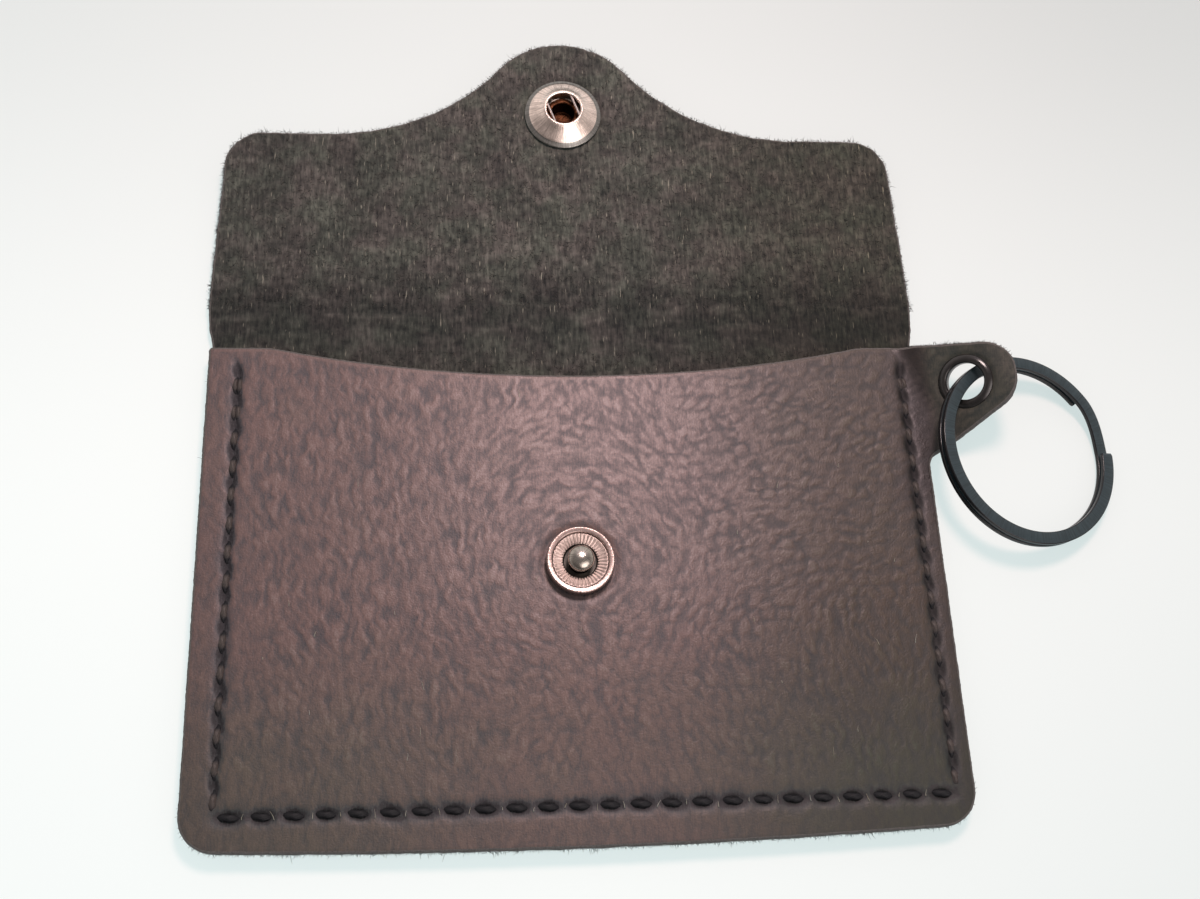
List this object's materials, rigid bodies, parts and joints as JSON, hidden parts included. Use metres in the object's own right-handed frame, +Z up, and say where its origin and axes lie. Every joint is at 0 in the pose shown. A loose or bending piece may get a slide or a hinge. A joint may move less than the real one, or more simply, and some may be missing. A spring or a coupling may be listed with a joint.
{
  "type": "card wallet",
  "caption": "Stitched leather card pocket with a fold-over snap flap shown open, and a split key ring through an eyelet on a bent-up side tab.",
  "frame": {"origin": "on the flat underside of the back panel, right under the stud of the snap", "axes": "+X across the wallet towards the key tab, +Y from the pocket towards the open flap, +Z up from the surface it lies on"},
  "size_m": [0.1389, 0.1283, 0.0111],
  "materials": {
    "back_leather": "matt suede inside, smooth outside",
    "brown_leather": "pebbled grain, soft sheen",
    "flap_leather": "matt suede",
    "black_waxed_thread": "waxed, low sheen",
    "polished_nickel": "polished nickel plate",
    "spring_steel": "bright wire",
    "black_enamel": "glossy black",
    "black_plated_steel": "black plated, satin faces and glossy edges"
  },
  "bodies": {
    "wallet": {"back_panel": "back_leather", "front_panel": "brown_leather", "seam_thread": "black_waxed_thread", "stud_ring": "polished_nickel", "stud_post": "polished_nickel", "tab_eyelet": "black_enamel"},
    "flap": {"flap_panel": "flap_leather", "snap_cap": "polished_nickel", "snap_socket": "polished_nickel", "socket_spring": "spring_steel"},
    "key_ring": {"key_ring": "black_plated_steel"}
  },
  "joints": [
    {"name": "flap_fold", "type": "hinge", "parent": "wallet", "child": "flap", "pos_m": [0, 0.0378, 0.0039], "axis": [1, 0, 0], "range_deg": [0, 174.2]},
    {"name": "key_ring_swing", "type": "hinge", "parent": "wallet", "child": "key_ring", "pos_m": [0.06015, 0.02696, 0.00668], "axis": [-0.6433, 0.7473, 0.1664], "range_deg": [0, 80]}
  ]
}
